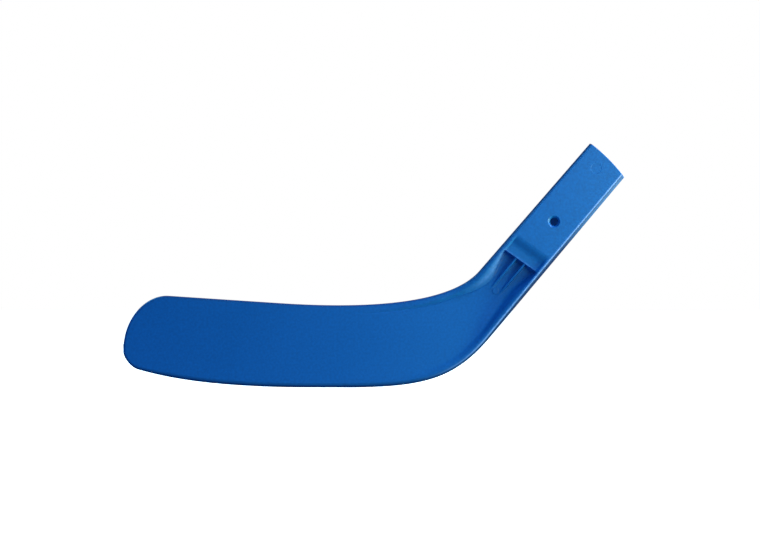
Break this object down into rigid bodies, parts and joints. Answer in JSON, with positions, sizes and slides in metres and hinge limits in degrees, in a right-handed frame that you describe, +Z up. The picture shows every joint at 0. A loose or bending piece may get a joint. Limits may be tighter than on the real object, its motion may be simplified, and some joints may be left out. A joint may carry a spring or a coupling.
{
  "type": "street hockey stick replacement blade",
  "caption": "Moulded plastic hockey blade with a ribbed, flanged neck and a hollow rectangular shank that slips over a stick shaft and takes a retaining screw.",
  "frame": {"origin": "middle of the shank's open mouth, where the shaft enters", "axes": "+Z up in the playing attitude, -X along the blade to the toe, -Y out of the front face that carries the screw hole; the shaft leaves the mouth at 49.5 degrees above +X"},
  "size_m": [0.3996, 0.028, 0.1935],
  "materials": {
    "blue_plastic": "fine matte mould texture, self-coloured blue"
  },
  "bodies": {
    "root": {"stick_blade": "blue_plastic"}
  },
  "joints": []
}
